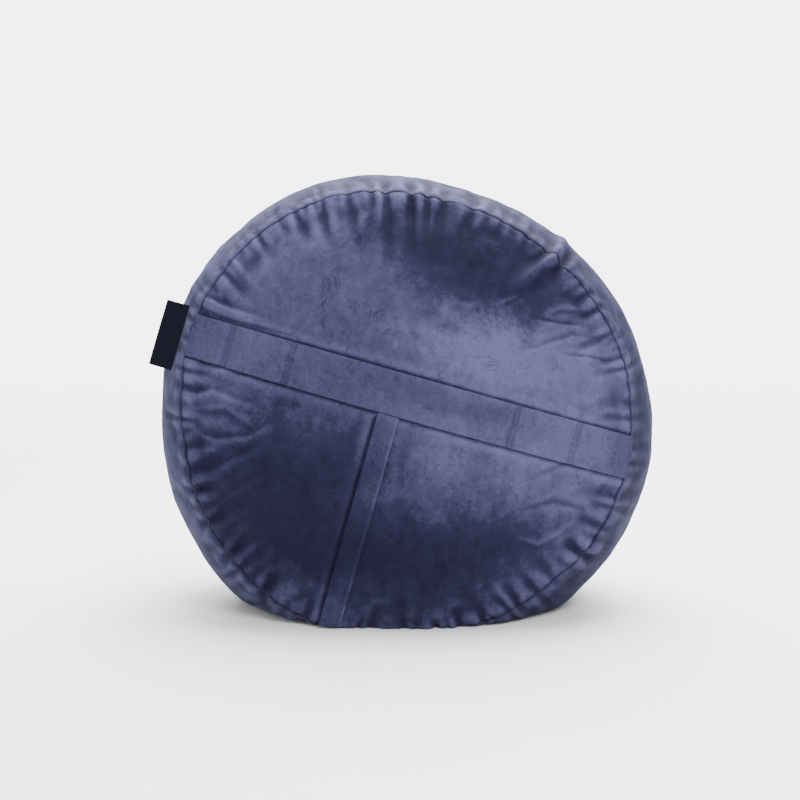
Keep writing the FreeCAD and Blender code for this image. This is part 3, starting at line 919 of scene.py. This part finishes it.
def slabOutline(share, width, thickness):
    # place across and depth below the top, walking round a flat strip with half-round edges
    radius = thickness / 2
    straight, arc = width - thickness, math.pi * radius
    walk = np.interp(share, [0, 0.52, 0.62, 0.90, 1.0],
                     [0, straight, straight + arc, 2 * straight + arc, 2 * (straight + arc)])
    half = straight / 2
    firstTurn = np.clip((walk - straight) / radius, 0, math.pi)
    secondTurn = np.clip((walk - 2 * straight - arc) / radius, 0, math.pi)
    across = np.select(
        [walk <= straight, walk <= straight + arc, walk <= 2 * straight + arc],
        [walk - half, half + radius * np.sin(firstTurn), half - (walk - straight - arc)],
        -half - radius * np.sin(secondTurn))
    depth = np.select(
        [walk <= straight, walk <= straight + arc, walk <= 2 * straight + arc],
        [np.zeros_like(walk), radius * (1 - np.cos(firstTurn)), np.full_like(walk, thickness)],
        radius * (1 + np.cos(secondTurn)))
    return across, depth


def clothStrip(name, cellsLong, cellsRound, width, thickness, placeOf):
    # a grid rolled round the strip's outline, closed at both ends
    bm = bmesh.new()
    bmesh.ops.create_grid(bm, x_segments=cellsLong, y_segments=cellsRound, size=0.5)
    shares = np.array([vert.co[:2] for vert in bm.verts]) + 0.5
    across, depth = slabOutline(shares[:, 1], width, thickness)
    for vert, spot in zip(bm.verts, placeOf(shares[:, 0], across, depth)):
        vert.co = spot
    bmesh.ops.remove_doubles(bm, verts=bm.verts, dist=1e-6)
    ends = [edge for edge in bm.edges if edge.is_boundary]
    for edge in ends:
        edge.smooth = False
    bmesh.ops.holes_fill(bm, edges=ends, sides=0)
    bmesh.ops.recalc_face_normals(bm, faces=bm.faces)
    piece = newObject(name, bm)
    # the strips take the same painted light and shade patches as the cover, along with the pile's tone
    nap = napAndPaintedLightAt(coordsOf(piece.data)) + napRange["strap"]
    spots = toFace(coordsOf(piece.data))
    onStrap = spots[:, 1] > strap["low"] - 0.002
    for row in strap["rows"]:
        nap -= strap["rowShade"] * onStrap * np.exp(-((spots[:, 0] - row) / strap["dentWidth"]) ** 2)
    # painted highlight along the placket's rolled right edge
    rolled = np.exp(-((spots[:, 0] - placket["right"] + 0.0025) / 0.0025) ** 2)
    nap += placket["rollNap"] * ~onStrap * rolled
    giveNapAndPaintedLight(piece.data, np.clip(nap, 0, 1))
    return piece


strapTo = {"left": seamOnFace(np.array([strapMiddle]), True, -1)[0],
           "right": seamOnFace(np.array([strapMiddle]), True, 1)[0]}


def strapLift(along, up):
    # the strap's top over the face's ball: it smooths over the small folds under it
    total = np.zeros(along.shape)
    offsets = [(shift, rise) for shift in (-0.009, 0, 0.009) for rise in (-0.008, 0, 0.008)]
    for shift, rise in offsets:
        total += skinHeight(along + shift, np.clip(up + rise, strap["low"] + 0.006, strap["high"] - 0.006))
    height = total / len(offsets)
    ends = np.minimum(along - strapTo["left"], strapTo["right"] - along)
    rise = strap["rise"] * (0.25 + 0.75 * smoothStep(ends, -0.004, 0.014))
    spots = np.stack([along, up, np.zeros_like(along)], axis=1)
    ripple = 0.0007 * noiseAt(spots, 0.042, (1.3, 2.9, 6.1), 3)
    ripple += 0.0016 * noiseAt(spots * (1, 0.35, 1), 0.030, (4.2, 0.3, 3.3)) * (1 - smoothStep(ends, 0.02, 0.12))
    dents = np.zeros_like(along)
    for row in strap["rows"]:
        dents += strap["dent"] * np.exp(-((along - row) / strap["dentWidth"]) ** 2)
    return height + rise + ripple - dents


def strapPiece(name, start, end):
    length = abs(end(0.0) - start(0.0))
    cells = max(8, round(length / 0.0030))

    def placeOf(share, across, depth):
        up = strapMiddle + across
        first, last = start(up), end(up)
        along = first + share * (last - first)
        return fromFace(along, up, strapLift(along, up) - depth)

    return clothStrip(name, cells, 46, strap["high"] - strap["low"], strap["thickness"], placeOf)


def atSeam(side):
    edge = 0.0010

    def reach(up):
        up = np.atleast_1d(np.asarray(up, float))
        found = seamOnFace(up, True, side) - side * edge
        return found if len(found) > 1 else found[0]
    return reach


gripMiddle = (strap["gripStart"] + strap["gripEnd"]) / 2
strapPieces = [
    ("handleStrapLeft", atSeam(-1), lambda up: strap["gripStart"] + 0 * up, "handle_strap_left"),
    ("gripLeftHalf", lambda up: strap["gripStart"] + 0 * up, lambda up: gripMiddle + 0 * up, "handle_grip"),
    ("gripRightHalf", lambda up: gripMiddle + 0 * up, lambda up: strap["gripEnd"] + 0 * up, "handle_grip"),
    ("handleStrapRight", lambda up: strap["gripEnd"] + 0 * up, atSeam(1), "handle_strap_right"),
]
loosening = 0.14       # length along the strap from the grip's anchored end; the places found with it are not used
for name, start, end, node in strapPieces:
    piece = strapPiece(name, start, end)
    free = node == "handle_grip"
    finishedPiece(piece, "velour", None if free else "root", node)
    length = abs(end(strapMiddle) - start(strapMiddle))
    if free:
        anchored, loose = (strap["gripStart"], 1) if name == "gripLeftHalf" else (strap["gripEnd"], -1)
        tuple(fromFace(anchored, strapMiddle, 0))
        tuple(fromFace(anchored + loose * loosening, strapMiddle, 0))
        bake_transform(piece)
print("strap laid")

placketWidth = placket["right"] - placket["left"]
placketMiddle = (placket["right"] + placket["left"]) / 2


def placketLift(along, up):
    # open and standing off at its left fold, sewn down at its right edge
    share = (along - placket["left"]) / placketWidth
    rise = placket["rise"] + (placket["sewnRise"] - placket["rise"]) * smoothStep(share, 0.62, 1.0)
    hem = 0.0009 * np.exp(-((along - placket["hemRow"]) / 0.0016) ** 2)
    roll = placket["roll"] * smoothStep(share, 0.86, 0.96) * smoothStep(-up, 0.02, 0.10)
    spots = np.stack([along, up, np.zeros_like(along)], axis=1)
    ripple = 0.0006 * noiseAt(spots * (1, 0.5, 1), 0.030, (2.0, 7.5, 0.2), 3)
    crushed = 0.0013 * noiseAt(spots, 0.011, (3.0, 1.0, 8.0)) * smoothStep(up, -0.07, 0.0) * smoothStep(share, 0.4, 0.8)
    return skinHeight(along, up) + rise - hem + roll + ripple + crushed


def placketPlace(share, across, depth):
    along = placketMiddle + across
    bottom = seamOnFace(along, False, -1) + 0.0015
    up = placket["top"] + share * (bottom - placket["top"])
    spots = fromFace(along, up, placketLift(along, up) - depth)
    spots[:, 2] = floorClamp(spots[:, 2])
    return spots


flap = clothStrip("zipPlacket", placket["cellsAlong"], 46, placketWidth, placket["thickness"], placketPlace)
finishedPiece(flap, "velour", "root", "zip_placket")

stitch = {"length": 0.0042, "pitch": 0.0056, "thread": 0.0010, "margin": 0.004, "sunk": 0.0001}


def stitchRun(bm, spots, directions):
    # each stitch is a small rounded length of thread, half sunk in the pile
    for spot, direction in zip(spots, directions):
        out = Vector(spot - ballCentre).normalized()
        forward = Vector(direction).normalized()
        side = out.cross(forward).normalized()
        turn = Matrix((forward, side, out)).transposed().to_4x4()
        size = Matrix.Diagonal((stitch["length"] / 2, stitch["thread"] / 2, stitch["thread"] / 2, 1))
        place = Matrix.Translation(Vector(spot) + out * stitch["sunk"]) @ turn @ size
        bmesh.ops.create_uvsphere(bm, u_segments=7, v_segments=5, radius=1, matrix=place)


def stitchRows():
    bm = bmesh.new()
    ups = np.arange(strap["low"] + stitch["margin"], strap["high"] - stitch["margin"], stitch["pitch"])
    for row in strap["rows"]:
        along = np.full_like(ups, row)
        spots = fromFace(along, ups, strapLift(along, ups))
        stitchRun(bm, spots, np.gradient(spots, axis=0))
    return newObject("strapStitches", bm)


finishedPiece(stitchRows(), "thread", "root", "strap_stitching")


def hemStitches():
    bm = bmesh.new()
    bottom = seamOnFace(np.array([placket["hemRow"]]), False, -1)[0]
    ups = np.arange(bottom + 0.006, placket["top"] - 0.002, stitch["pitch"])
    along = np.full_like(ups, placket["hemRow"])
    spots = fromFace(along, ups, placketLift(along, ups))
    spots[:, 2] = floorClamp(spots[:, 2])
    stitchRun(bm, spots, np.gradient(spots, axis=0))
    return newObject("placketStitches", bm)


finishedPiece(hemStitches(), "thread", "root", "placket_stitching")
print("placket and stitches laid")

label = {"curl": 0.0026, "rowInset": 0.0030, "thickness": 0.0014, "cells": 60}
labelAxis = np.array(joints["label_flap"]["axis"])
labelHinge = np.array(joints["label_flap"]["pos_m"])
labelCorners = coordsOf(frame["nodes"]["side_label"].data)
labelMiddle = (labelCorners.min(axis=0) + labelCorners.max(axis=0)) / 2
labelOut = labelMiddle - labelHinge
labelOut = labelOut - labelAxis * (labelOut @ labelAxis)
labelOut /= np.linalg.norm(labelOut)
labelFace = np.cross(labelOut, labelAxis)
labelSpan = (labelCorners - labelHinge) @ labelAxis
labelWidth = float(((labelCorners - labelHinge) @ labelOut).max())
labelLength = float(labelSpan.max() - labelSpan.min())


def labelPlace(share, across, depth):
    # a folded woven tab: it curls a little away from the cushion towards its free corners
    along = labelSpan.min() + share * labelLength
    out = across + labelWidth / 2
    free = out / labelWidth
    corners = (2 * share - 1) ** 2
    lift = label["curl"] * free ** 2 * (0.35 + corners) - depth + label["thickness"] / 2
    return (labelHinge + along[:, None] * labelAxis + out[:, None] * labelOut + lift[:, None] * labelFace)


tab = clothStrip("sideLabel", label["cells"], 40, labelWidth, label["thickness"], labelPlace)
finishedPiece(tab, "label", "label", "side_label")

# the liner bag and the foam follow the cover from inside
inner = {"linerDeep": 0.0085, "linerCloth": 0.0006, "foamDeep": 0.0150, "foamRounds": 10}
linerLift = smoothed(coarseLift, skinEdges, 1)
setCoords(template.data, coarse["rest"] + linerLift - coarseNormals * inner["linerDeep"])
slit = [(alongStrap, gapLeft), (alongStrap, gapRight)]


def linerFront():
    # the slit for the liner's own zip is cut out of the front
    bm = bmesh.new()
    bm.from_mesh(template.data)
    bmesh.ops.delete(bm, geom=[face for face in bm.faces if face.material_index != 0], context="FACES")
    for direction, offset in slit + [(upFace, zipLine["top"])]:
        everything = list(bm.verts) + list(bm.edges) + list(bm.faces)
        bmesh.ops.bisect_plane(bm, geom=everything, dist=1e-6, plane_co=Vector(ballCentre + direction * offset),
                               plane_no=Vector(direction))
    middles = toFace(np.array([face.calc_center_median() for face in bm.faces]))
    gone = (middles[:, 0] > gapLeft) & (middles[:, 0] < gapRight) & (middles[:, 1] < zipLine["top"])
    bmesh.ops.delete(bm, geom=[face for face, cut in zip(bm.faces, gone) if cut], context="FACES")
    return newObject("linerFront", bm)


linerPieces = [
    (linerFront(), "liner_front", (0.85, 0.85), 0.56),
    (cutFrom(template, 2, [], "linerBack"), "liner_back", (0.85, 0.85), 0.56),
    (cutFrom(template, 1, [], "linerBand"), "liner_band", (2.58, 0.41), None),
]
for piece, node, flat, area in linerPieces:
    for face in piece.data.polygons:
        face.material_index = 0
    wall(piece, inner["linerCloth"])
    finishedPiece(piece, "liner_cloth", "root", node)

foamLift = smoothed(coarseLift, skinEdges, inner["foamRounds"])
lumps = 0.002 * noiseAt(coarse["rest"], 0.03, (9.0, 2.0, 5.0), 2)
template.name = "foamFilling"
setCoords(template.data, coarse["rest"] + foamLift - coarseNormals * (inner["foamDeep"] + np.abs(lumps))[:, None])
for face in template.data.polygons:
    face.material_index = 0
finishedPiece(template, "foam", "root", "foam_fill")
bpy.data.objects.remove(cover)
print("liner and foam made")

zipFinish = {"zip_tape": "zip_tape", "zip_coil": "zip_coil", "zip_slider": "zip_slider", "zip_stops": "zip_slider"}
for node, piece in frame["nodes"].items():
    for part, slot in zipFinish.items():
        if part in node:
            piece.data.materials.clear()
            piece.data.materials.append(finishes[slot])

view = {"elevation": 6.0, "distance": 3.0, "lens": 70.9, "aim": (-0.0016, 0.0, 0.3874)}
tilt = math.radians(view["elevation"])
camera = bpy.data.objects.new("camera", bpy.data.cameras.new("camera"))
bpy.context.scene.collection.objects.link(camera)
camera.data.lens = view["lens"]
camera.data.sensor_width = 36
camera.location = Vector(view["aim"]) + Vector((0, -math.cos(tilt), math.sin(tilt))) * view["distance"]
camera.rotation_euler = (math.pi / 2 - tilt, 0, 0)
bpy.context.scene.camera = camera

floorSize = 24.0
floorMesh = bmesh.new()
bmesh.ops.create_grid(floorMesh, x_segments=1, y_segments=1, size=floorSize / 2)
floor = newObject("floor", floorMesh)
floorFinish = Finish("paleFloor")
mottle = floorFinish.noise(floorFinish.places(), 3.0, 2, 0.5)
floor.data.materials.append(floorFinish.finish(
    floorFinish.ramp(mottle, [(0.0, (0.90, 0.90, 0.90, 1)), (1.0, (0.93, 0.93, 0.93, 1))]), 0.9))
# further off the floor thins out, so that it meets the backdrop with no edge
distance = floorFinish.node("ShaderNodeVectorMath", {"operation": "LENGTH"}, output="Value",
                            Vector=floorFinish.places())
thinned = floorFinish.node("ShaderNodeMixShader", output="Shader", Fac=floorFinish.span(distance, 1.5, 6.0))
surface = floorFinish.tree.nodes["Material Output"].inputs["Surface"]
mixer = thinned.socket.node
clear = floorFinish.tree.nodes.new("ShaderNodeBsdfTransparent")
floorFinish.tree.links.new(surface.links[0].from_socket, mixer.inputs[1])
floorFinish.tree.links.new(clear.outputs[0], mixer.inputs[2])
floorFinish.tree.links.new(mixer.outputs[0], surface)
floor.location.z = -0.0005

lights = [
    ("overhead", (0.25, 0.35, 2.7), (0.0, 0.0, 0.3), 2.2, 260),
    ("key", (0.9, -2.9, 2.3), (0.0, 0.0, 0.35), 1.3, 116),
    ("fill", (-2.6, -1.8, 1.1), (0.0, 0.0, 0.35), 1.8, 20),
    ("behind", (0.0, 7.0, 5.0), (0.0, 7.5, 0.0), 9.0, 2600),
]
for name, place, aim, size, power in lights:
    lamp = bpy.data.objects.new(name, bpy.data.lights.new(name, "AREA"))
    lamp.data.size = size
    lamp.data.energy = power
    lamp.location = place
    lamp.rotation_euler = (Vector(aim) - Vector(place)).to_track_quat("-Z", "Y").to_euler()
    bpy.context.scene.collection.objects.link(lamp)

sky = bpy.data.worlds.new("studio")
sky.use_nodes = True
background = sky.node_tree.nodes["Background"]
background.inputs["Color"].default_value = (1, 1, 1, 1)
background.inputs["Strength"].default_value = 0.9
backdrop = sky.node_tree.nodes.new("ShaderNodeBackground")      # what is seen behind: paler than what lights
backdrop.inputs["Color"].default_value = (1, 1, 1, 1)
backdrop.inputs["Strength"].default_value = 5.4
seen = sky.node_tree.nodes.new("ShaderNodeLightPath")
either = sky.node_tree.nodes.new("ShaderNodeMixShader")
sky.node_tree.links.new(seen.outputs["Is Camera Ray"], either.inputs[0])
sky.node_tree.links.new(background.outputs[0], either.inputs[1])
sky.node_tree.links.new(backdrop.outputs[0], either.inputs[2])
sky.node_tree.links.new(either.outputs[0], sky.node_tree.nodes["World Output"].inputs["Surface"])
bpy.context.scene.world = sky
